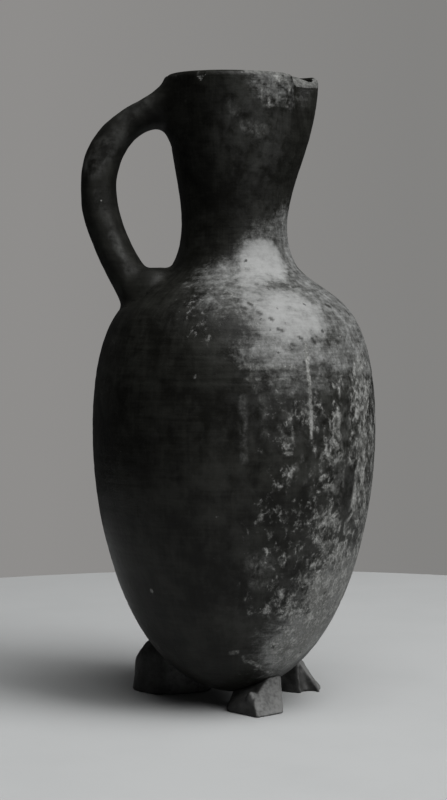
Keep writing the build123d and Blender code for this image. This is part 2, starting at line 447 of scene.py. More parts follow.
print("the rim at the lip stands", round(float(mouth_offset(rim_height, 0.0)), 1), "mm out")

# %% [markdown]
# ## One skin, cut into the four built-up sections
#
# The wall is a grid of points: columns go round the jug and rows run up the outside, over the
# lip and down the inside. The rows are set so that one lies exactly on each joint between
# sections. Each section then takes its own rows and is closed with the joint's bevel, so
# neighbours share their edge points and their normals, and the shine runs on across a joint.

# %% Rows of the grid
columns = 480
outer_step = 0.70
inner_step = 2.2
lap_rise = 3.0
seam_heights = [42.0, 132.5, 175.5]
lip_rows = 15
lip_outer_drop = 2.5
lip_inner_drop = 1.5
angles = np.arange(columns)*360/columns - 180


def rows_between(line, low, high, step):
    """Evenly spaced (radius, height) rows along a line, both ends included."""
    chosen = line[(line[:, 1] >= low) & (line[:, 1] <= high)]
    lengths = np.concatenate([[0], np.cumsum(np.linalg.norm(np.diff(chosen, axis=0), axis=1))])
    count = max(int(lengths[-1]/step), 2)
    wanted = np.linspace(0, lengths[-1], count + 1)
    radii = np.interp(wanted, lengths, chosen[:, 0])
    heights = np.interp(wanted, lengths, chosen[:, 1])
    heights[0] = max(low, chosen[0, 1])
    heights[-1] = high
    return np.stack([radii, heights], axis=1)


section_names = ["base", "belly", "shoulder", "neck"]
outer_stops = [outline[0, 1], *seam_heights, rim_height - lip_outer_drop]
inner_seams = [height - lap_rise for height in seam_heights]
inner_stops = [inside[0, 1], *inner_seams, rim_height - lip_inner_drop]
outer_rows = [rows_between(outline, *stops, outer_step) for stops in zip(outer_stops, outer_stops[1:])]
inner_rows = [rows_between(inside, *stops, inner_step) for stops in zip(inner_stops, inner_stops[1:])]
print("outer rows", [len(rows) for rows in outer_rows], "inner rows", [len(rows) for rows in inner_rows])

# %% [markdown]
# ## Old damage on the lip
#
# On the near side of the spout the lip has broken away. The scar slopes outwards and down,
# and its rows are the lip's own rows, drawn down by two curves, one for the outer edge and
# one for the inner. Handling has rounded the scar's outer edge and rubbed the rim pale to
# its left. Farther left still a small wedge has flaked off the outside.

# %% Chip and flake
chip_edges = [
    (-44.0, 0.0, 0.0), (-40.0, 0.3, 0.0), (-35.0, 0.9, 0.0), (-30.0, 1.9, 0.0), (-26.0, 3.1, 0.1),
    (-22.0, 4.2, 0.3), (-16.0, 4.5, 0.7), (-13.0, 4.5, 1.0), (-10.0, 4.4, 1.7), (-6.0, 4.3, 2.4),
    (-3.0, 4.1, 2.3), (1.0, 2.2, 1.2), (5.0, 0.0, 0.0),
]
chip_angles, chip_outer_depths, chip_inner_depths = zip(*chip_edges)
chip_full_depth = 2.0
chip_fade = 9.0
scar_fade = 1.2
scar_rounding = 0.8
scar_round_share = 0.35
scar_rough_size = 2.2
scar_rough_depth = 0.3
flake_angle = -118.0
flake_half_width = 2.6
flake_height = 2.8
flake_drop = 1.6
flake_depth = 0.40
flake_edge = 0.5
flake_top_fade = 0.1


def chip_share(angle):
    """How much of the lip is gone at an angle, from 0 to 1."""
    return ease(np.interp(angle, chip_angles, chip_outer_depths)/chip_full_depth)


def chip_drop(angle, depths, edge_drop):
    """How far an edge of the lip, already edge_drop below its top, sinks into the chip."""
    return chip_share(angle)*(np.interp(angle, chip_angles, depths) - edge_drop)


def flake_share(angle, height, radius):
    """1 on the wedge-shaped flake under the rim, 0 off it."""
    across = np.abs(angle - flake_angle)*math.pi/180*radius
    down = (rim_height - flake_drop - height)/flake_height
    from_side = flake_half_width*(1 - down) - across
    return ease(from_side/flake_edge)*ease(down/flake_top_fade)


print("chip from", chip_angles[0], "to", chip_angles[-1], "degrees,", max(chip_outer_depths), "mm deep")

# %% [markdown]
# ## Making the grid
#
# Hand work shows as a slow unevenness of a quarter of a millimetre and as faint level ridges.
# Both are moved into the points themselves, so that they bend reflections and outlines as on
# the real wall. A faint groove marks each joint, deeper here and shallower there.

# %% Hand work and grooves
sway_size = 38.0
sway_depth = 0.22
ridge_depth = 0.07
ridge_rise = 3.4
groove_depth = 0.22
groove_width = 0.8
least_groove = 0.002


def fractal_at(points, size, fall, spacing):
    """Noise of three sizes at each point, the largest of them about this size."""
    return np.array([noise.fractal(Vector(point)/size, fall, spacing, 3) for point in points])


def hand_work(place, radius_share):
    """Offset in mm of the outside at a point: slow sway plus level ridges."""
    x, y, z = place
    sway = noise.fractal(Vector((x, y, z))/sway_size, 1.0, 2.0, 3)
    around = Vector((x, y, 0)).normalized()*0.8
    ridge = noise.fractal(Vector((around.x, around.y, z/ridge_rise)), 0.8, 2.1, 3)
    return sway_depth*sway*radius_share + ridge_depth*ridge


def groove(height, seam):
    """Depth of the groove at a joint, which comes and goes round the jug."""
    depth = groove_depth*bell(height - seam, groove_width)
    if depth < least_groove:
        return 0.0
    turns = np.radians(angles)
    waver = np.array([noise.noise(Vector((math.cos(t), math.sin(t), seam))*2) for t in turns])
    return depth*np.clip(0.55 + 0.9*waver, 0, 1.3)


print("groove at the neck joint:", round(float(groove(seam_heights[2], seam_heights[2]).max()), 2), "mm")

# %% [markdown]
# ## Rings of points
#
# Each row of the grid is one ring. Its reach from the axis holds everything that happened to
# the wall sideways, and one function then moves it up or down: it sinks where the lip is
# broken, lifts at the pouring lip, and tilts by a degree above the waist, as the real mouth
# does. Near the axis the hand work fades, so that the bottom closes in a point.

# %% Rings of points
pole_radius = 10.0


def set_ring(reach, height, depths, edge_drop):
    """Ring of points at a reach from the axis: sunk in the chip, lifted at the lip, tilted."""
    sunk_share = ease((height - rim_height + edge_drop + chip_fade)/chip_fade)
    drop = chip_drop(angles, depths, edge_drop)*sunk_share - rim_rise(height, angles)
    tilt = rim_tilt*max((height - waist_height)/(rim_height - waist_height), 0)
    x = reach*np.cos(np.radians(angles))
    return np.stack([x, reach*np.sin(np.radians(angles)), height - drop - x*tilt], axis=1)


def outer_points(rows):
    """Grid of points on the outside, its damage and hand work included."""
    made = []
    for radius, height in rows:
        reach = radius + mouth_offset(height, angles)
        for seam in seam_heights:
            reach = reach - groove(height, seam)
        reach = reach - flake_depth*flake_share(angles, height, reach)
        share = min(radius/pole_radius, 1)
        x = reach*np.cos(np.radians(angles))
        y = reach*np.sin(np.radians(angles))
        work = np.array([hand_work((a, b, height), share) for a, b in zip(x, y)])
        made.append(set_ring(reach + work*share, height, chip_outer_depths, lip_outer_drop))
    return np.array(made)


def inner_points(rows):
    """Grid of points on the inside."""
    made = []
    for radius, height in rows:
        thinning = lip_thinning*rim_rise(height, angles)/spout_lift*bell(angles, thinning_spread)
        reach = radius + mouth_offset(height, angles)*min(radius/pole_radius, 1) + thinning
        made.append(set_ring(reach, height, chip_inner_depths, lip_inner_drop))
    return np.array(made)


def lip_points(outer_edge, inner_edge):
    """Rows over the lip from the outer edge to the inner one, broken where it is chipped."""
    share = chip_share(angles)[:, None]
    made = []
    for step in range(1, lip_rows):
        turn = math.pi*step/lip_rows
        across = (1 - math.cos(turn))/2
        crown = rim_height - rim_tilt*outer_edge[:, 0:1] + rim_rise(rim_height, angles)[:, None]
        whole = outer_edge + (inner_edge - outer_edge)*across
        edge_height = np.where(turn < math.pi/2, outer_edge[:, 2:3], inner_edge[:, 2:3])
        whole[:, 2:3] = edge_height + (crown - edge_height)*math.sin(turn)
        straight = step/lip_rows
        broken = outer_edge + (inner_edge - outer_edge)*straight
        from_edge = 1 - min(straight/scar_round_share, 1)
        broken[:, 2] += scar_rounding*math.sqrt(1 - from_edge**2)*(1 - straight)
        rough = fractal_at(broken, scar_rough_size, 0.7, 2.2)
        broken[:, 2] += scar_rough_depth*rough*math.sin(turn)
        made.append(whole*(1 - share) + broken*share)
    return np.array(made)


rim_ring = set_ring(outline[-1, 0], rim_height, chip_outer_depths, 0.0)
print("the rim is from", rim_ring[:, 2].min().round(1), "to", rim_ring[:, 2].max().round(1), "mm high")

# %% Whole grid
outer_grid = [outer_points(rows) for rows in outer_rows]
inner_grid = [inner_points(rows) for rows in inner_rows]
lip_grid = lip_points(outer_grid[-1][-1], inner_grid[-1][-1])
print("points on the wall", sum(grid.shape[0]*columns for grid in outer_grid + inner_grid))

# %% [markdown]
# ## Painted masks
#
# Wear and dirt follow the jug's history, not a pattern, so their places are painted on the
# points by formula: where the pale film lies, where crust has grown, where a thin haze dulls
# the slip, and where it is gone and bare clay shows. Some film is also a painted highlight at
# the neck's foot and over the shoulder, and low on the right film, haze and crust are also
# painted light thrown back from the table. The shader breaks each mask up with fine noise.

# %% Soft patches
def patch(angle, height, middle, reach):
    """Soft oval patch: its middle and its half sizes, as (degrees, mm)."""
    turn = (angle - middle[0] + 180) % 360 - 180
    return ease(1.5 - np.hypot(turn/reach[0], (height - middle[1])/reach[1]))


def strongest(listed, angle, height):
    """The strongest of the listed patches at each point."""
    found = np.zeros(len(angle))
    for middle, reach, strength in listed:
        found = np.maximum(found, strength*patch(angle, height, middle, reach))
    return found


print("a patch is this strong at its half size:", float(patch(1.0, 0.0, (0.0, 0.0), (1.0, 1.0))))

# %% Where the layers lie
# Each patch is its middle and its half sizes, both in degrees and mm, and its strength.
patches = {}
patches["film_and_painted_light"] = [
    # At the neck's foot and over the shoulder the film is partly real film, partly a painted highlight.
    ((-61.0, 178.0), (28.0, 9.0), 1.06),
    ((-56.0, 186.0), (22.0, 8.0), 0.42),
    ((-80.0, 171.5), (42.0, 8.0), 0.66),
    ((-77.0, 171.0), (15.0, 6.0), 0.86),
    ((-62.0, 157.0), (23.0, 12.5), 0.96),
    ((-66.0, 144.0), (24.0, 8.5), 0.70),
    ((-22.0, 164.0), (46.0, 18.0), 0.66),
    ((-18.0, 147.0), (28.0, 16.0), 0.66),
    ((-60.0, 133.0), (22.0, 6.0), 0.46),
    ((-94.0, 165.0), (19.0, 8.0), 0.50),
    ((-78.0, 164.0), (14.0, 7.0), 0.80),
    ((-14.0, 186.0), (36.0, 14.0), 0.70),
    ((-54.0, 246.0), (24.0, 7.5), 0.58),
    ((-33.0, 244.5), (9.0, 8.0), 0.45),
    ((-20.0, 245.0), (14.0, 7.0), 0.22),
    # Low on the right the film is partly real film, partly painted light thrown back from the table.
    ((-50.0, 29.0), (26.0, 14.0), 0.80),
    ((-34.0, 28.0), (14.0, 9.0), 0.92),
    ((-30.0, 46.0), (24.0, 20.0), 0.74),
    ((-14.0, 42.0), (26.0, 24.0), 0.72),
    ((-8.0, 86.0), (16.0, 44.0), 0.42),
    ((-38.0, 141.0), (17.0, 7.0), 0.62),
    ((44.0, 160.0), (30.0, 12.0), 0.62),
    ((150.0, 158.0), (30.0, 12.0), 0.46),
    ((100.0, 182.0), (26.0, 9.0), 0.42),
]
patches["crust"] = [
    ((-20.0, 88.0), (46.0, 56.0), 0.84),
    ((-52.0, 74.0), (31.0, 62.0), 0.60),
    # Low on the right the crust is partly real crust, partly painted light thrown back from the table.
    ((-30.0, 50.0), (36.0, 24.0), 1.10),
    ((-48.0, 28.0), (26.0, 12.0), 1.10),
    ((-60.0, 19.0), (24.0, 6.0), 0.52),
    ((-70.0, 170.0), (24.0, 8.0), 0.30),
    ((-98.0, 158.0), (20.0, 11.0), 0.40),
    ((30.0, 84.0), (30.0, 44.0), 0.82),
    ((96.0, 60.0), (26.0, 24.0), 0.55),
    ((165.0, 70.0), (20.0, 18.0), 0.42),
    ((-160.0, 30.0), (20.0, 12.0), 0.35),
]
patches["haze_and_painted_light"] = [
    ((-72.0, 228.0), (34.0, 24.0), 0.80),
    ((-66.0, 200.0), (30.0, 14.0), 0.42),
    ((-84.0, 96.0), (24.0, 42.0), 0.22),
    ((-76.0, 50.0), (24.0, 22.0), 0.42),
    ((-30.0, 106.0), (32.0, 50.0), 0.85),
    ((-66.0, 122.0), (26.0, 18.0), 0.60),
    # Low on the right the haze is partly real haze, partly painted light thrown back from the table.
    ((-38.0, 42.0), (34.0, 36.0), 1.20),
    ((-104.0, 160.0), (20.0, 11.0), 0.40),
    ((-92.0, 145.0), (12.0, 6.0), 0.45),
    ((80.0, 110.0), (40.0, 40.0), 0.40),
    ((175.0, 120.0), (40.0, 30.0), 0.35),
]
print("patches:", {layer: len(listed) for layer, listed in patches.items()})

# %% [markdown]
# ## Single marks
#
# Some traces are too particular for a patch: a trickle that dried on the belly, scratches
# under the lip, flecks near the foot, and a few places where the slip stayed clean. Each is
# a line over the wall, in degrees and mm, with a width. A strength above zero lays crust, one
# below zero keeps the slip bare of it. The film also has short clean ticks, all alike, which
# need only their ends.

# %% Mark lines
mark_lines = [
    (((-59.0, 145.9), (-59.6, 138.4), (-59.9, 129.1), (-59.4, 123.1), (-59.6, 111.1)), 0.72, 1.05),
    (((-60.2, 123.7), (-55.1, 123.1)), 0.45, 0.80),
    (((-84.0, 136.9), (-83.4, 131.7), (-81.9, 128.7)), 0.56, 0.16),
    (((-79.6, 126.5), (-78.9, 113.1)), 1.30, 0.10),
    (((-86.9, 126.5), (-86.5, 103.5)), 1.40, 0.09),
    (((-87.6, 138.1), (-79.2, 138.0), (-69.7, 137.6), (-61.8, 137.3)), 0.80, 0.28),
    (((-86.0, 133.6), (-76.2, 133.4), (-63.6, 132.9)), 0.45, 0.25),
    (((-69.0, 120.0), (-68.6, 116.6)), 1.1, 0.22),
    (((-73.4, 116.0), (-71.1, 112.2), (-69.0, 110.3)), 0.45, 0.28),
    (((-65.7, 115.0), (-67.0, 112.1), (-69.0, 110.3)), 0.45, 0.25),
    (((-70.6, 105.8), (-67.3, 105.3)), 0.50, 0.90),
    (((-66.9, 104.6), (-66.8, 101.9)), 0.45, 0.70),
    (((-68.8, 97.5), (-67.1, 98.9)), 0.81, 1.10),
    (((-54.3, 95.3), (-51.4, 96.6)), 0.93, 0.90),
    (((-25.8, 96.6), (-27.3, 89.7)), 0.99, 1.00),
    (((-28.3, 136.9), (-27.5, 127.1), (-28.3, 116.3)), 4.2, 0.55),
    (((-28.3, 116.3), (-28.6, 104.6), (-28.1, 92.8), (-28.0, 81.1)), 4.7, 0.66),
    (((-41.4, 124.7), (-41.9, 109.0)), 2.9, -0.90),
    (((-38.9, 96.4), (-37.3, 89.4)), 3.8, -1.00),
    (((-39.7, 86.9), (-38.2, 80.1)), 3.4, -1.00),
    (((-63.6, 110.5), (-63.3, 94.2)), 4.2, -0.80),
    (((-80.9, 63.6), (-77.6, 61.2), (-79.2, 57.6)), 3.7, 0.19),
    (((-76.5, 63.9), (-78.0, 59.6)), 3.2, 0.19),
    (((-55.6, 45.0), (-50.2, 44.6), (-47.0, 38.9), (-53.0, 39.4), (-51.8, 42.2)), 2.7, 0.31),
    (((-38.7, 38.9), (-40.6, 32.4), (-46.6, 30.4), (-46.5, 26.9)), 1.5, 0.85),
    (((-46.5, 26.9), (-50.5, 24.2), (-49.6, 20.0), (-48.9, 16.2)), 0.93, 0.90),
    (((-68.0, 19.3), (-57.8, 16.8), (-48.9, 16.2)), 0.74, 0.70),
    (((-92.2, 26.8), (-88.4, 27.3)), 0.74, 0.70),
    (((-79.8, 23.1), (-74.9, 21.5), (-68.8, 19.4)), 0.74, 0.80),
    (((-84.3, 25.0), (-81.7, 22.2)), 0.56, 0.31),
    (((-69.4, 105.4), (-69.4, 105.0)), 0.45, 1.00),
    (((-66.2, 87.9), (-66.2, 87.5)), 0.45, 1.00),
    (((-64.2, 91.6), (-64.2, 91.2)), 0.45, 0.90),
    (((-105.7, 134.6), (-105.7, 134.3)), 0.45, 1.00),
    (((-151.5, 51.3), (-151.5, 51.0)), 0.45, 1.10),
    (((-133.3, 51.2), (-132.8, 50.6)), 0.50, 1.20),
    (((-79.2, 229.3), (-72.0, 228.3), (-65.5, 227.6)), 2.5, 0.19),
    (((-91.2, 237.6), (-89.6, 234.6)), 2.5, 0.10),
    (((-67.3, 246.8), (-66.7, 237.8)), 0.50, 0.28),
    (((-61.9, 246.2), (-60.1, 237.1)), 0.56, 0.60),
    (((-70.7, 243.8), (-37.5, 243.9)), 0.45, 0.28),
    (((-69.6, 240.4), (-39.6, 240.4)), 0.45, 0.25),
    (((-66.7, 237.4), (-38.9, 237.7)), 0.50, 0.31),
    (((-55.1, 245.6), (-52.2, 238.1)), 0.50, 0.25),
    (((-56.4, 249.4), (-49.0, 247.3), (-37.7, 245.1)), 1.4, 0.70),
    (((-51.4, 245.4), (-45.3, 244.2), (-40.8, 243.3)), 0.45, -1.00),
    (((-50.6, 241.6), (-44.0, 241.2)), 0.42, -0.70),
    (((-46.9, 249.7), (-46.5, 249.4)), 0.68, -1.20),
    (((-45.0, 99.0), (-44.0, 90.0)), 3.2, -0.80),
]
print(len(mark_lines), "single marks")

# %% Clean ticks in the film
clean_tick_width = 0.55
clean_tick_strength = -0.95
clean_ticks = [
    ((-83.2, 161.6), (-81.4, 160.9)), ((-79.5, 158.3), (-77.7, 157.5)), ((-83.5, 156.4), (-82.2, 155.7)),
    ((-71.0, 151.9), (-68.8, 151.2)), ((-81.0, 150.1), (-79.3, 149.4)), ((-36.2, 160.7), (-34.0, 159.9)),
    ((-17.7, 158.2), (-17.3, 156.7)), ((-66.0, 146.3), (-64.3, 145.6)), ((-55.2, 148.4), (-54.2, 146.5)),
    ((-47.0, 147.5), (-46.5, 145.6)), ((-86.9, 160.1), (-84.6, 159.4)), ((-86.4, 153.1), (-84.7, 151.6)),
    ((-73.8, 156.0), (-72.6, 155.3)), ((-61.7, 148.9), (-60.4, 148.1)),
]
mark_lines += [(tick, clean_tick_width, clean_tick_strength) for tick in clean_ticks]
print(len(clean_ticks), "clean ticks")

# %% Distance to a mark
least_radius = 8.0


def near_line(angle, height, radius, start, end):
    """Distance in mm over the wall from points to one straight stretch of a mark."""
    millimetres = np.maximum(radius, least_radius)*math.pi/180
    across = (angle - start[0])*millimetres
    up = height - start[1]
    run_across = (end[0] - start[0])*millimetres
    run_up = end[1] - start[1]
    share = (across*run_across + up*run_up)/np.maximum(run_across**2 + run_up**2, 1e-6)
    share = np.clip(share, 0, 1)
    return np.hypot(across - share*run_across, up - share*run_up)


def mark_strength(angle, height, radius):
    """Strongest mark at each point, above zero for crust and below for clean slip."""
    added = np.zeros(len(angle))
    cleaned = np.zeros(len(angle))
    for path, width, strength in mark_lines:
        highest = max(end[1] for end in path) + 2*width
        lowest = min(end[1] for end in path) - 2*width
        if height.min() > highest or height.max() < lowest:
            continue
        away = np.full(len(angle), 1e6)
        for start, end in zip(path, path[1:]):
            away = np.minimum(away, near_line(angle, height, radius, start, end))
        share = abs(strength)*ease(1.5 - away/width)
        added = np.maximum(added, share if strength > 0 else 0)
        cleaned = np.maximum(cleaned, share if strength < 0 else 0)
    return added - cleaned


trickle_top = np.array([-59.0]), np.array([145.9]), np.array([53.0])
print("mark at the top of the trickle:", round(float(mark_strength(*trickle_top)[0]), 2))

# %% [markdown]
# ## All masks at a point
#
# One function answers for any point on the jug, the handle too, so wall and handle age alike
# where they meet. Bare clay isn't a patch: it follows the scar's edge and the flake. Over the
# lip two more things are known, whether a point lies in the scar and how near it is to the
# rubbed edge.

# %% Masks of a point
flake_bareness = 0.52
scar_bareness = 0.8
worn_edge_left = -97.0
worn_edge_right = -24.0
worn_edge_drop = 1.9
worn_fade_left = 22.0
worn_fade_right = 6.0
worn_fade_down = 0.8
worn_bareness = 0.70


def masks(points, on_inside):
    """The masks for an array of points in mm."""
    angle = np.degrees(np.arctan2(points[:, 1], points[:, 0]))
    height = points[:, 2]
    radius = np.hypot(points[:, 0], points[:, 1])
    outside = 1 - float(on_inside)
    found = {layer: strongest(listed, angle, height) for layer, listed in patches.items()}
    found["marks"] = mark_strength(angle, height, radius)*outside
    scar_edge = rim_height - rim_tilt*points[:, 0] + rim_rise(rim_height, angle)
    scar_edge -= np.interp(angle, chip_angles, chip_outer_depths)
    below_scar = ease(1 - (scar_edge - height)/scar_fade)*chip_share(angle)
    flaked = flake_bareness*flake_share(angle, height, radius)
    found["bare"] = np.maximum(flaked, scar_bareness*below_scar*outside)
    found["inside"] = np.full(len(points), float(on_inside))
    return found


def lip_masks(points, on_lip):
    """Masks over the lip: bare in the scar, rubbed pale along the near edge."""
    found = masks(points, False)
    angle = np.degrees(np.arctan2(points[:, 1], points[:, 0]))
    crown = points[:, 2] + rim_tilt*points[:, 0] - rim_height - rim_rise(rim_height, angle)
    wear_and_highlight = ease((angle - worn_edge_left)/worn_fade_left)*ease((worn_edge_right - angle)/worn_fade_right)
    wear_and_highlight = worn_bareness*wear_and_highlight*ease((crown + worn_edge_drop)/worn_fade_down)
    found["bare"] = np.maximum(found["bare"], wear_and_highlight)
    if on_lip:
        found["bare"] = np.maximum(found["bare"], chip_share(angle))
    return found


neck_foot = masks(np.array([[10.0, -24.0, 178.0]]), False)
print("at the neck's foot:", {layer: round(float(values[0]), 2) for layer, values in neck_foot.items()})

# %% [markdown]
# ## From grid to mesh
#
# Two neighbouring rows make a strip of quads. The masks go onto the mesh as point attributes,
# which a shader can read by name, and which need no unwrapping. The normals come from the
# whole grid, not from each section alone, so no joint shows in the shine.

# %% Grid to mesh
def add_piece(name, points, faces, layers, normals=None):
    """Mesh object from points in mm, with its masks as point attributes."""
    mesh = bpy.data.meshes.new(name)
    mesh.from_pydata((np.asarray(points)*mm).tolist(), [], faces)
    for layer, values in layers.items():
        attribute = mesh.attributes.new(layer, "FLOAT", "POINT")
        attribute.data.foreach_set("value", np.asarray(values, np.float32))
    mesh.shade_smooth()
    if normals is not None:
        mesh.normals_split_custom_set_from_vertices(np.asarray(normals).tolist())
    piece = bpy.data.objects.new(name, mesh)
    bpy.context.scene.collection.objects.link(piece)
    return piece


def unit_length(vectors):
    """The same directions, each 1 long."""
    length = np.linalg.norm(vectors, axis=-1)[..., None]
    return vectors/np.maximum(length, 1e-9)


def grid_normals(grid):
    """Normals of a grid of points that closes round its columns."""
    up = np.gradient(grid, axis=0)
    around = np.roll(grid, -1, axis=1) - np.roll(grid, 1, axis=1)
    return unit_length(np.cross(around, up))


def strip_faces(rings):
    """Quads between rows of a closed grid."""
    faces = []
    for ring in range(rings - 1):
        start = ring*columns
        for step in range(columns):
            beside = (step + 1) % columns
            faces.append((start + step, start + beside, start + columns + beside, start + columns + step))
    return faces


print("two rows make", len(strip_faces(2)), "faces")

# %% Rows of the whole skin
lip_margin = 3

outer_all = np.concatenate([grid[:-1] for grid in outer_grid[:-1]] + [outer_grid[-1]])
inner_all = np.concatenate([grid[:-1] for grid in inner_grid[:-1]] + [inner_grid[-1]])
skin = np.concatenate([outer_all, lip_grid, inner_all[::-1]])
skin_normals = grid_normals(skin)
outer_starts = np.cumsum([0] + [len(grid) - 1 for grid in outer_grid[:-1]])
inner_starts = np.cumsum([0] + [len(grid) - 1 for grid in inner_grid[:-1]])
print("skin of", len(skin), "rows and", columns, "columns")


def section_rows(index):
    """The rows of the skin that one section takes: its outside, then its inside."""
    outer = np.arange(outer_starts[index], outer_starts[index] + len(outer_grid[index]))
    inner_low = len(skin) - 1 - inner_starts[index]
    inner_high = inner_low - len(inner_grid[index]) + 1
    if section_names[index] == "neck":
        return np.arange(outer[0], inner_low + 1)
    return np.concatenate([outer, np.arange(inner_high, inner_low + 1)])


def painted_layers(rows):
    """The masks of rows of the skin, joined into one list of values for each layer."""
    lip_start = len(outer_all)
    inner_start = lip_start + len(lip_grid)
    layers = {}
    for row in rows:
        near_lip = lip_start - lip_margin <= row < inner_start + 1
        on_lip = lip_start <= row < inner_start
        found = lip_masks(skin[row], on_lip) if near_lip else masks(skin[row], row >= inner_start)
        for layer, values in found.items():
            layers.setdefault(layer, []).append(values)
    return {layer: np.concatenate(values) for layer, values in layers.items()}


# %% [markdown]
# ## The four wall pieces
#
# Each section is closed like the real one before it was joined: its outside, its inside, and
# the bevel between their edges. The neck runs over the lip, so it needs only one bevel. The
# base ends in one point at the axis on each side.

# %% Wall pieces
def close_poles(points, normals, layers, faces):
    """The base's first and last ring have shrunk to a point: keep one point of each."""
    last = len(points) - columns
    renumber = np.arange(len(points)) - columns + 1
    renumber[:columns] = 0
    renumber[last:] = last - columns + 1
    chosen = np.concatenate([[0], np.arange(columns, last + 1)])
    points = points[chosen]
    normals = normals[chosen]
    points[[0, -1], :2] = 0
    normals[0] = (0, 0, -1)
    normals[-1] = (0, 0, 1)
    layers = {layer: values[chosen] for layer, values in layers.items()}
    faces = [tuple(dict.fromkeys(renumber[list(face)].tolist())) for face in faces]
    return points, normals, layers, faces


def section_piece(index):
    """One built-up section of the wall as a closed mesh."""
    name = section_names[index]
    rows = section_rows(index)
    points = skin[rows].reshape(-1, 3)
    normals = skin_normals[rows].reshape(-1, 3)
    layers = painted_layers(rows)
    faces = strip_faces(len(rows))
    if name == "base":
        points, normals, layers, faces = close_poles(points, normals, layers, faces)
    else:
        end = (len(rows) - 1)*columns
        for step in range(columns):
            beside = (step + 1) % columns
            faces.append((end + step, end + beside, beside, step))
    return add_piece(name + "_wall", points, faces, layers, normals)


walls = [section_piece(index) for index in range(len(section_names))]
for name, piece in zip(section_names, walls):
    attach(piece, "root")
    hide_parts(name)
    print(piece.name, len(piece.data.polygons), "faces")

# %% [markdown]
# ## Clay that melts together
#
# The handle and the lumps were never separate shapes with sharp meeting lines: wet clay is
# smeared from one into the next. A field gives each point in space its distance to a shape,
# less than zero inside. Two fields are joined with a soft minimum, which leaves a fillet, and
# the surface is then found where the joined field is zero.

# %% Soft joins
def soft_min(first, second, width):
    """The smaller of two distances, with a fillet of about this width where they meet."""
    share = np.clip(0.5 + 0.5*(second - first)/width, 0, 1)
    return second + (first - second)*share - width*share*(1 - share)


def soft_max(first, second, width):
    """The larger of two distances, with the edge between them rounded."""
    return -soft_min(-first, -second, width)


print("a smear of 2 mm fills its corner by", -float(soft_min(0.0, 0.0, 2.0)), "mm")

# %% Distance to the vessel
grid_step = 0.5
grid_radius = 80.0
grid_floor = -10.0
grid_top = 270.0
line_stride = 6
last_cell = 1.001


def outline_distance():
    """Signed distance to the outline, worked out once on a grid of (radius, height)."""
    radii = np.arange(0, grid_radius, grid_step)
    heights = np.arange(grid_floor, grid_top, grid_step)
    line = outline[::line_stride]
    found = np.empty((len(radii), len(heights)))
    for index, radius in enumerate(radii):
        across = (radius - line[:, 0])[None, :]
        up = heights[:, None] - line[:, 1][None, :]
        found[index] = np.sqrt(across**2 + up**2).min(axis=1)
        wall_radius = np.interp(heights, outline[:, 1], outline[:, 0], left=-1, right=-1)
        found[index][radius < wall_radius] *= -1
    return found


distance_grid = outline_distance()
print("distances worked out at", distance_grid.size, "places")


def to_vessel(points):
    """Signed distance from points to the vessel's outside."""
    radius = np.hypot(points[..., 0], points[..., 1])
    across = np.clip(radius/grid_step, 0, distance_grid.shape[0] - last_cell)
    up = np.clip((points[..., 2] - grid_floor)/grid_step, 0, distance_grid.shape[1] - last_cell)
    i = across.astype(int)
    j = up.astype(int)
    a = across - i
    b = up - j
    low = distance_grid[i, j]*(1 - a) + distance_grid[i + 1, j]*a
    high = distance_grid[i, j + 1]*(1 - a) + distance_grid[i + 1, j + 1]*a
    return low*(1 - b) + high*b


# %% [markdown]
# ## A net over a field
#
# The surface is where the field is zero. Space is cut into small cubes; wherever an edge of a
# cube passes from inside to outside, the crossing is noted. Each cube gets one point, the mean
# of its crossings, and each crossed edge gets one quad between the four cubes round it. Quads
# of even size bend light more evenly than the slivers that other ways of cutting leave. Last,
# each point is moved along the field's slope until it lies on the surface.

# %% Slope of a field
slope_gap = 0.05


def field_slope(field, points):
    """Direction in which a field grows fastest, with its size."""
    slope = np.empty_like(points)
    for axis in range(3):
        nudge = np.zeros(3)
        nudge[axis] = slope_gap
        slope[:, axis] = (field(points + nudge) - field(points - nudge))/(2*slope_gap)
    return slope


def trial_ball(points):
    """Distance to a ball of 5 mm radius, to try the slope and the net on."""
    return np.linalg.norm(points, axis=-1) - 5.0


print("slope of a ball's field:", field_slope(trial_ball, np.array([[3.0, 0.0, 4.0]])).round(3).tolist())

# %% Crossed edges and their quads
def edge_crossings(space, value, axis, cell):
    """Which edges along an axis cross the skin, which start inside it, and where they cross."""
    near = [slice(None)]*3
    far = [slice(None)]*3
    near[axis] = slice(0, -1)
    far[axis] = slice(1, None)
    first = value[tuple(near)]
    second = value[tuple(far)]
    crossed = (first < 0) != (second < 0)
    share = np.where(crossed, first/np.where(crossed, first - second, 1), 0)
    point = space[tuple(near)].copy()
    point[..., axis] += share*cell
    return crossed, first < 0, point*crossed[..., None]


def quads_round(axis, beside, crossed, starts_inside, number):
    """A quad round each crossed edge, between the points of the four cells that share it."""
    at = np.argwhere(crossed)
    for other in beside:
        at = at[(at[:, other] > 0) & (at[:, other] < number.shape[other])]
    corners = []
    for back_a, back_b in ((1, 1), (0, 1), (0, 0), (1, 0)):
        cell_at = at.copy()
        cell_at[:, beside[0]] -= back_a
        cell_at[:, beside[1]] -= back_b
        corners.append(number[tuple(cell_at.T)])
    quads = np.stack(corners, axis=1)
    outward = starts_inside[tuple(at.T)] != (axis == 1)
    quads[~outward] = quads[~outward][:, ::-1]
    return quads.tolist()


trial_space = np.stack(np.meshgrid(*[np.arange(-7.0, 8.0)]*3, indexing="ij"), axis=-1)
trial_crossed = edge_crossings(trial_space, trial_ball(trial_space), 0, 1.0)[0]
print("a ball crosses", int(trial_crossed.sum()), "edges along x")

# %% Skin of a field
polish_steps = 3
least_slope = 0.2


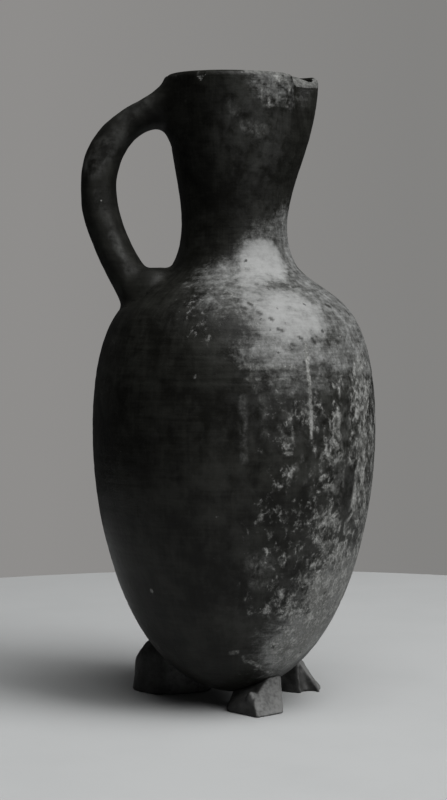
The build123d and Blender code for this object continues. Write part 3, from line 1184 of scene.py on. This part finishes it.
def skin_of(field, low, high, cell):
    """Closed net of quads where the field is zero: one point in each cell that it crosses."""
    sides = [np.arange(low[axis], high[axis] + cell, cell) for axis in range(3)]
    space = np.stack(np.meshgrid(*sides, indexing="ij"), axis=-1)
    value = np.stack([field(slab) for slab in space])
    shape = tuple(len(side) - 1 for side in sides)
    total = np.zeros(shape + (3,))
    hits = np.zeros(shape)
    edges = []
    for axis in range(3):
        beside = [other for other in range(3) if other != axis]
        crossed, starts_inside, point = edge_crossings(space, value, axis, cell)
        for shift_a, shift_b in ((0, 0), (0, 1), (1, 0), (1, 1)):
            part = [slice(None)]*3
            part[beside[0]] = slice(shift_a, shift_a + shape[beside[0]])
            part[beside[1]] = slice(shift_b, shift_b + shape[beside[1]])
            total += point[tuple(part)]
            hits += crossed[tuple(part)]
        edges.append((axis, beside, crossed, starts_inside))
    used = hits > 0
    number = np.full(shape, -1)
    number[used] = np.arange(used.sum())
    points = total[used]/hits[used][:, None]
    faces = [quad for edge in edges for quad in quads_round(*edge, number)]
    for _ in range(polish_steps):
        slope = field_slope(field, points)
        steepness = np.maximum((slope**2).sum(axis=1), least_slope)
        points = points - slope*(field(points)/steepness)[:, None]
    return points, faces, field_slope(field, points)


ball_points = skin_of(trial_ball, (-7, -7, -7), (7, 7, 7), 1.0)[0]
print("a ball of 5 mm comes back as", round(float(np.linalg.norm(ball_points, axis=1).mean()), 3), "mm")

# %% [markdown]
# ## Handle
#
# A coil of clay about 15 mm thick leaves the neck under the rim, arches out and comes down on
# the shoulder. Its middle line is a curve in the plane of the handle; the section is a
# squarish oval, wider than it is thick. A web of clay runs from its top up to the lip, and a
# flat-topped mound is pressed into the angle between its foot and the neck.

# %% Handle line
# Each station is its x, its height, and the coil's thickness and width there.
handle_stations = np.array([
    (-22.0, 240.0, 12.0, 24.0), (-30.0, 238.0, 12.0, 23.5), (-36.6, 235.0, 12.2, 22.5),
    (-43.2, 230.8, 12.4, 21.2), (-49.0, 224.6, 13.6, 20.5), (-52.5, 217.1, 14.3, 20.5),
    (-53.9, 208.5, 14.3, 20.5), (-53.2, 199.4, 14.6, 20.5), (-51.0, 190.8, 14.3, 20.8),
    (-47.8, 182.4, 14.2, 21.2), (-43.8, 174.8, 14.6, 22.0), (-39.6, 167.6, 15.6, 23.0),
    (-35.0, 159.0, 16.5, 24.0),
])
handle_out = (-1.0, -0.1)
handle_down = (0.45, -0.89)
handle_samples = 260
section_power = 2.4
end_slack = 1.0

handle_path = smooth_through(handle_stations[:, :2], handle_out, handle_down, handle_samples)
station_at = [int(np.argmin(np.hypot(*(handle_path - station[:2]).T))) for station in handle_stations]
handle_thick = np.interp(np.arange(handle_samples), station_at, handle_stations[:, 2])
handle_wide = np.interp(np.arange(handle_samples), station_at, handle_stations[:, 3])
handle_run = np.gradient(handle_path, axis=0)
handle_run /= np.linalg.norm(handle_run, axis=1)[:, None]
handle_length = np.linalg.norm(np.diff(handle_path, axis=0), axis=1).sum()
print("coil", round(float(handle_length)), "mm long and up to", handle_thick.max(), "mm thick")


def to_coil(points):
    """Distance to the handle's coil."""
    flat = points.reshape(-1, 3)
    gap = (flat[:, 0:1] - handle_path[:, 0])**2 + (flat[:, 2:3] - handle_path[:, 1])**2
    at = np.argmin(gap, axis=1)
    offset = flat[:, [0, 2]] - handle_path[at]
    run_there = handle_run[at]
    side = offset[:, 0]*run_there[:, 1] - offset[:, 1]*run_there[:, 0]
    past = np.abs((offset*run_there).sum(axis=1))
    a = side/(handle_thick[at]/2)
    b = flat[:, 1]/(handle_wide[at]/2)
    oval = (np.abs(a)**section_power + np.abs(b)**section_power)**(1/section_power)
    off_section = (oval - 1)*handle_thick[at]/2
    beyond = np.maximum(past - end_slack, 0)
    off_end = np.hypot(np.maximum(off_section, 0), beyond)
    return np.where(beyond > 0, off_end, off_section).reshape(points.shape[:-1])


# %% [markdown]
# ## Web and mound
#
# The web fills the corner between the coil and the lip. It is an oval rod that gets wider as
# it climbs, cut off level with the rim. The mound is a squashed ball with a flat top. Each is
# only a distance, so each can be melted into the coil by a soft minimum.

# %% Web and mound
web_low = np.array([-32.0, 0.0, 238.0])
web_high = np.array([-22.6, 0.0, 247.5])
web_thick = 9.6
web_top = rim_height - 0.3
web_wide_low = 21.0
web_wide_high = 28.0
web_rounding = 1.0
mound_middle = np.array([-31.3, 0.0, 163.0])
mound_reach = np.array([13.5, 17.5, 15.5])
mound_top = 175.2
mound_rounding = 1.6


def to_web(points):
    """Distance to the oval web between the handle's top and the lip."""
    span = web_high - web_low
    length = np.linalg.norm(span)
    run_there = span/length
    offset = points - web_low
    along = np.clip(offset @ run_there, 0, length)
    rest = offset - along[..., None]*run_there
    wide = web_wide_low + (web_wide_high - web_wide_low)*along/length
    across = rest[..., 1]/(wide/2)
    thick = np.hypot(rest[..., 0], rest[..., 2])/(web_thick/2)
    oval = (np.sqrt(across**2 + thick**2) - 1)*web_thick/2
    return soft_max(oval, points[..., 2] - web_top, web_rounding)


def to_mound(points):
    """Distance to the flat-topped mound at the handle's foot."""
    offset = (points - mound_middle)/mound_reach
    ball = (np.sqrt((offset**2).sum(axis=-1)) - 1)*mound_reach.min()
    return soft_max(ball, points[..., 2] - mound_top, mound_rounding)


print("web", round(float(np.linalg.norm(web_high - web_low)), 1), "mm long, mound to", mound_top, "mm")

# %% [markdown]
# ## Melting the handle into the wall
#
# The smear is widest on the neck, 12 mm, where the potter's thumb ran up and down inside the
# handle, and narrow on the shoulder and the lip. Only the clay that stands out of the wall is
# kept, so the handle's piece ends a millimetre inside the wall and leaves no open edge.

# %% Handle piece
smear_web = 2.5
smear_mound = 1.8
smear_neck = 12.0
smear_shoulder = 2.2
smear_heights = [190.0, 212.0, 226.0, 248.0]
smear_sizes = [smear_shoulder, smear_neck, smear_neck, smear_shoulder]
sunk = 0.10
root_depth = 1.0
handle_cell = 0.75
handle_low = (-66.0, -24.0, 150.0)
handle_high = (-14.0, 24.0, 256.0)


def to_handle(points):
    """Coil, web and mound melted together and into the vessel's wall."""
    coil = soft_min(to_coil(points), to_web(points), smear_web)
    clay = soft_min(coil, to_mound(points), smear_mound)
    vessel = to_vessel(points)
    smear = np.interp(points[..., 2], smear_heights, smear_sizes)
    joined = soft_min(clay, vessel, smear) + sunk
    kept = np.maximum(joined, -vessel - root_depth)
    kept = np.maximum(kept, clay - smear)
    return np.maximum(kept, points[..., 2] - web_top)


handle_points, handle_faces, handle_slopes = skin_of(to_handle, handle_low, handle_high, handle_cell)
print("handle points", len(handle_points), "faces", len(handle_faces))

# %% [markdown]
# ## Wear and painted highlights on the handle
#
# A coil is rolled by hand, so its thickness wavers. Where it was gripped the slip has gone
# matt. A few pale strokes on it are painted highlights, laid as lines in the handle's own plane.

# %% Handle hand work
handle_sway = 0.35
handle_sway_size = 14.0
root_fade = 3.0

sway = fractal_at(handle_points, handle_sway_size, 1.0, 2.0)
moved = handle_sway*sway*ease(to_vessel(handle_points)/root_fade)
handle_points = handle_points + unit_length(handle_slopes)*moved[:, None]
print("handle swayed by up to", round(float(np.abs(moved).max()), 2), "mm")

# %% Handle wear and painted highlights
wear_start = 1.0
wear_fade = 5.0
film_left = 0.4
highlight_haze = 2.0
highlight_film = 0.12
# Painted highlights: each stroke is its two ends as (x, height), its half width and its strength.
highlight_strokes = [
    ((-45.1, 227.2), (-51.0, 221.4), 3.6, 0.80), ((-51.0, 221.4), (-55.5, 214.5), 4.2, 1.00),
    ((-54.0, 204.5), (-49.6, 192.5), 1.4, 0.60), ((-47.9, 188.1), (-41.4, 173.8), 1.6, 0.95),
    ((-42.4, 233.8), (-34.2, 240.5), 3.0, 0.50),
]
flat_radius = 180/math.pi

layers = masks(handle_points, False)
free = ease((to_vessel(handle_points) - wear_start)/wear_fade)
wear_and_highlight = np.zeros(len(handle_points))
for start, end, reach, strength in highlight_strokes:
    away = near_line(handle_points[:, 0], handle_points[:, 2], flat_radius, start, end)
    wear_and_highlight = np.maximum(wear_and_highlight, strength*ease(1.5 - away/reach))
layers["matt"] = free
# The strokes go into the haze and the film as painted highlights.
layers["haze_and_painted_light"] = highlight_haze*wear_and_highlight*free
layers["film_and_painted_light"] = np.maximum(layers["film_and_painted_light"]*film_left, highlight_film*wear_and_highlight*free)
handle = add_piece("handle_coil", handle_points, handle_faces, layers)
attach(handle, "root")
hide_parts("handle", "handle_upper_root", "handle_lower_root")
print(handle.name, len(handle.data.polygons), "faces")

# %% [markdown]
# ## Lumps under the base
#
# Each lump was torn off, pushed under the jug and squeezed by finger and thumb, which leaves
# flats with soft ridges between them. A field made of a few planes does the same: the soft
# maximum of their distances is a boulder with rounded edges. The vessel presses its own
# shape into the top, and the table flattens the bottom. A fingertip left a small knob on the
# front lump and a groove in the back one: balls are joined to the field or taken out of it.

# %% Lump shapes
# A flat is its bearing and tilt in degrees and its distance from the middle; a ball is its
# middle and its radius.
lumps = {
    "foot_front": {
        "middle": (9.0, -18.0, 6.0),
        "softness": 1.4,
        "flats": [
            (-52, 22, 5.8), (-135, 5, 7.3), (3, 4, 10.0), (180, 20, 9.2), (92, 10, 9.0),
            (-151, 52, 3.8), (-80, 72, 9.8),
        ],
        "knobs": [((6.6, -23.4, 7.6), 1.65), ((6.6, -23.6, 5.8), 1.65)],
        "hollows": [],
    },
    "foot_back": {
        "middle": (25.0, 27.0, 5.0),
        "softness": 1.0,
        "flats": [
            (-80, 8, 10.4), (-118, 5, 8.4), (-5, 36, 6.4), (60, 20, 5.8), (120, 20, 9.0),
            (178, 20, 9.0),
        ],
        "knobs": [],
        "hollows": [
            ((28.6, 18.8, 9.4), 1.9), ((30.0, 17.8, 6.6), 2.8), ((31.2, 17.2, 3.4), 3.6),
            ((31.8, 16.6, 0.6), 3.6),
        ],
    },
    "foot_left": {
        "middle": (-27.5, 27.5, 8.0),
        "softness": 5.0,
        "flats": [
            (180, 4, 13.8), (128, 10, 13.5), (-128, 8, 13.2), (-75, 10, 12.8), (60, 12, 13.0),
            (-20, 6, 17.0), (180, 58, 14.0), (-60, 60, 14.5), (70, 60, 14.5),
        ],
        "knobs": [],
        "hollows": [],
    },
}
print("flats:", {name: len(lump["flats"]) for name, lump in lumps.items()})

# %% Lump fields
ball_melt = 1.0
press_overlap = 0.2
press_rounding = 0.8
table_rounding = 0.5


def flat_plane(bearing, tilt, distance):
    """The direction that a flat faces, and its distance from the lump's middle."""
    turn = math.radians(bearing)
    lift = math.radians(tilt)
    facing = (math.cos(lift)*math.cos(turn), math.cos(lift)*math.sin(turn), math.sin(lift))
    return np.array(facing), distance


def to_ball(points, middle, radius):
    return np.linalg.norm(points - np.array(middle), axis=-1) - radius


def lump_field(middle, softness, flats, knobs, hollows):
    """Field of a lump: flats, knobs and hollows, then the press of the vessel and the table."""
    planes = [flat_plane(*flat) for flat in flats]

    def field(points):
        offset = points - np.array(middle)
        found = offset @ planes[0][0] - planes[0][1]
        for facing, distance in planes[1:]:
            found = soft_max(found, offset @ facing - distance, softness)
        for knob in knobs:
            found = soft_min(found, to_ball(points, *knob), ball_melt)
        for hollow in hollows:
            found = soft_max(found, -to_ball(points, *hollow), ball_melt)
        found = soft_max(found, -to_vessel(points) - press_overlap, press_rounding)
        return soft_max(found, -points[..., 2], table_rounding)

    return field


front_field = lump_field(**lumps["foot_front"])
print("the front lump's middle lies", -round(float(front_field(np.array([9.0, -18.0, 6.0]))), 1), "mm deep")

# %% [markdown]
# ## Three lumps from their fields
#
# A pressed lump isn't smooth: it sways by half a millimetre and has a fine grain, except where
# it touches the jug. The side that faces the skylight is painted pale as painted light, and the
# groove is left dark as painted shade, so that mask comes from which way each point faces and
# how far it is from the hollows.

# %% Lump pieces
lump_sway = 0.55
lump_sway_size = 7.0
lump_grain = 0.16
lump_grain_size = 2.6
lump_cell = 0.6
lump_below = (22, 22, 9)
lump_above = (22, 22, 24)
press_fade = 1.5
# Painted light: facets that face the skylight are painted pale; the groove stays dark as painted shade.
skylight_side = np.array([0.66, -0.46, 0.60])
lit_start = 0.45
lit_fade = 0.35
hollow_shade = 1.2


def lump_piece(name, lump):
    """One lump as a mesh: swayed and grained skin, with painted light where it faces the skylight."""
    middle = np.array(lump["middle"])
    points, faces, slopes = skin_of(
        lump_field(**lump), middle - lump_below, middle + lump_above, lump_cell
    )
    outward = unit_length(slopes)
    sway = np.array([noise.noise(Vector(point)/lump_sway_size) for point in points])
    grain = fractal_at(points, lump_grain_size, 0.9, 2.1)
    moved = (lump_sway*sway + lump_grain*grain)*ease(to_vessel(points)/press_fade)
    points = points + outward*moved[:, None]
    points[:, 2] = np.maximum(points[:, 2], 0)
    # Painted light on the facets that face the skylight, taken out in the hollows as painted shade.
    painted_light = ease((outward @ skylight_side - lit_start)/lit_fade)
    for hollow in lump["hollows"]:
        painted_light *= ease(to_ball(points, *hollow)/hollow_shade)
    return add_piece(name + "_lump", points, faces, {"painted_light": painted_light})


lump_pieces = []
for name, lump in lumps.items():
    piece = lump_piece(name, lump)
    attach(piece, "root")
    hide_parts(name)
    lump_pieces.append(piece)
    print(piece.name, len(piece.data.polygons), "faces")

# %% [markdown]
# ## Burnished ware
#
# The slip is almost black, a little olive, and shines softly where the pebble ran. Over it
# come, in order, a thin haze, the pale film, crust in crisp flecks, dark pits, specks of dust,
# and bare grey clay in the breaks. Haze and film also carry painted highlights, on the handle,
# at the neck's foot and over the shoulder, and painted light from the table low on the right.
# The inside never had slip and is stained in level bands.
# A photograph laid over the mesh could carry all this, but only for one side. Here each layer
# has a mask from 0 to 1, which mixes the colour and the roughness and adds its own height to
# the bump.

# %% Colours of the ware
slip_black = (0.0050, 0.0050, 0.0041, 1)
slip_brown = (0.0178, 0.0181, 0.0156, 1)
# The film's colours also serve for the painted highlights and the painted light from the table.
dim_film_and_light = (0.085, 0.086, 0.083, 1)
pale_film_and_light = (0.252, 0.256, 0.252, 1)
crust_dim = (0.105, 0.106, 0.100, 1)
crust_pale = (0.30, 0.302, 0.292, 1)
bare_clay = (0.125, 0.126, 0.121, 1)
bare_dark = (0.062, 0.063, 0.060, 1)
pit_black = (0.009, 0.009, 0.008, 1)
inner_clay = (0.058, 0.056, 0.050, 1)
inner_dark = (0.026, 0.025, 0.022, 1)
print("slip reflects", slip_black[1], "to", slip_brown[1], "and the film", dim_film_and_light[1], "to", pale_film_and_light[1])

# %% Painted masks in the shader
ware = Finish(bpy.data.materials.new("burnished_ware"))
film_and_painted_light_mask = ware.painted("film_and_painted_light")
crust_mask = ware.painted("crust")
haze_and_painted_light_mask = ware.painted("haze_and_painted_light")
bare_mask = ware.painted("bare")
inside_mask = ware.painted("inside")
matt_mask = ware.painted("matt")
marks = ware.painted("marks")
crust_marks = marks.at_least(0.0)
kept = 1 - (marks*-1.0).at_least(0.0).at_most(1.0)
print("masks take", len(ware.tree.nodes), "nodes")

# %% [markdown]
# ## Noise at every size
#
# Burial marks a surface at several sizes at once, from clouds of 24 mm down to specks under a
# millimetre. One set of noises is made once and shared by all layers, so that film, pits and
# crust gather in the same places. Two of them follow how the jug was made and how water ran:
# level bands go round it, and strands run down it.

# %% Noises of the ware
where = ware.place()
x, y, z = ware.parts(where)
radius = (x*x + y*y + 1.0)**0.5


def round_the_jug(turns, rise):
    """Place for noise that is stretched round the jug, or up and down it."""
    return ware.node("CombineXYZ", None, {0: x/radius*turns, 1: y/radius*turns, 2: z*rise})


tall = ware.node("CombineXYZ", None, {0: x, 1: y, 2: z*0.72})
tone = ware.cloud(where, 24.0, detail=5, roughness=0.6)
blotch = ware.cloud(where, 6.5, detail=6, roughness=0.62, swirl=0.25)
fleck = ware.cloud(where, 2.2, detail=6, roughness=0.66, swirl=0.1)
speck = ware.cloud(where, 0.9, detail=3, roughness=0.6)
drip = ware.cloud(tall, 3.4, detail=6, roughness=0.68, swirl=0.5)
gap = ware.cloud(tall, 9.0, detail=4, roughness=0.55)
level = ware.cloud(round_the_jug(3.0, 0.9), 1.0, detail=6, roughness=0.62)
trickle = ware.cloud(round_the_jug(30.0, 0.09), 1.0, detail=5, roughness=0.6)
print("with its noises the ware has", len(ware.tree.nodes), "nodes")

# %% [markdown]
# ## Slip, haze and film
#
# The slip varies from black to brown where it went on thicker or thinner. The film is a skin
# of salts that is thin at its edges, so its noise is strong there and weak in its middle, and
# the clean marks cut through it. The haze is the same thing at its thinnest. Where their masks
# were laid for highlights or for light from the table, both are painted light as well.

# %% Slip, haze and film
slip_share = ware.step(tone*0.40 + blotch*0.30 + level*0.15 + trickle*0.15, 0.42, 0.62)
slip = ware.blend(slip_share, slip_black, slip_brown)
haze_and_painted_light = haze_and_painted_light_mask*ware.step(blotch*0.6 + drip*0.4, 0.38, 0.66)

film_noise = fleck.swing(1.5) + blotch.swing(1.0) + level.swing(0.7) + speck.swing(0.9)
film_noise = film_noise*(1.25 - film_and_painted_light_mask*0.95)
film_and_painted_light = ware.step(film_and_painted_light_mask + film_noise, 0.05, 0.95)*ware.step(film_and_painted_light_mask, 0.02, 0.30)*kept
# Where the film's mask is strong, mostly at the painted highlights and low on the right, it is paler.
film_body = 0.25 + blotch.swing(0.5) + fleck.swing(0.4) + level.swing(0.3) + film_and_painted_light_mask*0.53
film_tint = ware.blend(ware.step(film_body, 0.42, 0.90), dim_film_and_light, pale_film_and_light)
print("with its film the ware has", len(ware.tree.nodes), "nodes")

# %% [markdown]
# ## Crust, pits, dust and bare clay
#
# Crust grows in crisp flecks, drawn out downwards as water ran. Pits are of two kinds: fine
# ones, which come from the low places of the noise, and round pocks in the film, which come
# from strewn points. Dust is strewn the same way, sparser and smaller. Bare clay shows where
# the lip is broken, with a ragged edge.

# %% Crust, pits, dust and bare clay
crust_noise = drip.swing(1.8) + fleck.swing(1.3) + trickle.swing(0.3) + gap.swing(1.2)
crust = ware.step(crust_mask*0.70 + crust_noise, 0.36, 0.92)*ware.step(crust_mask, 0.02, 0.25)*kept
mark_cover = (crust_marks*(1 + fleck.swing(5.0) + drip.swing(5.0))).at_least(0.0).at_most(1.0)
crust = crust.at_least(mark_cover)
crust_tint = ware.blend(ware.step(speck*0.4 + drip*0.6, 0.44, 0.66), crust_dim, crust_pale)

pit = (1 - ware.step(fleck*0.6 + blotch*0.4, 0.34, 0.40))*(0.35 + film_and_painted_light*0.65)
pocks = ware.scatter(where, 6.5) + fleck.swing(0.35) + speck.swing(0.25)
pit = pit.at_least((1 - ware.step(pocks, 0.06, 0.13))*film_and_painted_light)
dust_and_painted_light = 1 - ware.step(ware.scatter(where, 12.0), 0.018, 0.034)

bare = ware.step(bare_mask + blotch.swing(1.1) + fleck.swing(1.3), 0.36, 0.56)
bare_tint = ware.blend(ware.step(fleck*0.6 + speck*0.4, 0.42, 0.60), bare_dark, bare_clay)
inner_share = ware.step(level*0.35 + blotch*0.35 + fleck*0.15 + tone*0.15, 0.42, 0.60)
inner_tint = ware.blend(inner_share, inner_dark, inner_clay)
print("with its crust the ware has", len(ware.tree.nodes), "nodes")

# %% [markdown]
# ## Colour, gloss and relief
#
# The layers are laid over the slip in the order in which they came to the real jug, each with
# how well it covers what lies under it. Crust, bare clay and the inside are matt. The bump is
# in millimetres: crust stands a tenth proud, pits go a tenth in, and the break is rough.

# %% Colour of the ware
layers_over_slip = [
    (haze_and_painted_light, 0.30, dim_film_and_light), (film_and_painted_light, 0.94, film_tint), (crust, 0.90, crust_tint),
    (pit, 0.8, pit_black), (dust_and_painted_light, 0.6, crust_pale), (bare, 1.0, bare_tint),
    (inside_mask, 1.0, inner_tint),
]
colour = slip
for mask, cover, tint in layers_over_slip:
    colour = ware.blend(mask*cover, colour, tint)
print(len(layers_over_slip), "layers lie over the slip")

# %% Gloss and relief of the ware
slip_roughness = 0.42
matt_roughness = 0.62
crust_roughness = 0.85
slip_shine = 0.14

dull = crust.at_least(bare).at_least(inside_mask)
gloss = slip_roughness + blotch.swing(0.16) + level.swing(0.12) + film_and_painted_light*0.08
gloss = gloss + (matt_roughness - gloss)*matt_mask
roughness = gloss + (crust_roughness - gloss)*dull + pit*0.2

height = level.swing(0.10) + fleck.swing(0.12) + speck.swing(0.04) + blotch.swing(0.16)
height = height + crust*0.10 + film_and_painted_light*0.03 - pit*0.10 - bare*0.05 + bare*fleck.swing(0.5)
relief = ware.bump(height, strength=0.8)
burnished = ware.shade(colour, roughness, relief, **{"Specular IOR Level": slip_shine})
for piece in [*walls, handle]:
    piece.data.materials.append(burnished)

# %% [markdown]
# ## Lump clay
#
# The lumps are dark clay, matt and slightly greasy on the flats, with finger grain and small
# tears. Two noises do for that: one for the blotches that fingers leave, one for the grain.
# A painted highlight lies where its mask was painted, on the facets that face the skylight,
# more on the blotches than between them.

# %% Lump clay
clay_dark = (0.020, 0.020, 0.019, 1)
clay_light = (0.042, 0.042, 0.041, 1)
# Pale paint for the lit facets: painted light.
clay_painted_light = (0.150, 0.151, 0.148, 1)
clay_roughness = 0.55
clay_shine = 0.25

clay = Finish(bpy.data.materials.new("lump_clay"))
where = clay.place()
dabs = clay.cloud(where, 8.0, detail=6, roughness=0.6)
grain = clay.cloud(where, 1.4, detail=5, roughness=0.6)
colour = clay.blend(clay.step(dabs*0.7 + grain*0.3, 0.38, 0.66), clay_dark, clay_light)
# Painted light: pale on the facets that face the skylight, broken up by the finger blotches.
dust_and_painted_light = clay.painted("painted_light")*clay.step(dabs*0.6 + grain*0.4, 0.25, 0.60)
colour = clay.blend(dust_and_painted_light*0.9, colour, clay_painted_light)
roughness = clay_roughness + dabs.swing(0.25) + dust_and_painted_light*0.2
relief = clay.bump(grain.swing(0.22) + dabs.swing(0.3), strength=0.7)
lump_clay = clay.shade(colour, roughness, relief, **{"Specular IOR Level": clay_shine})
for piece in lump_pieces:
    piece.data.materials.append(lump_clay)
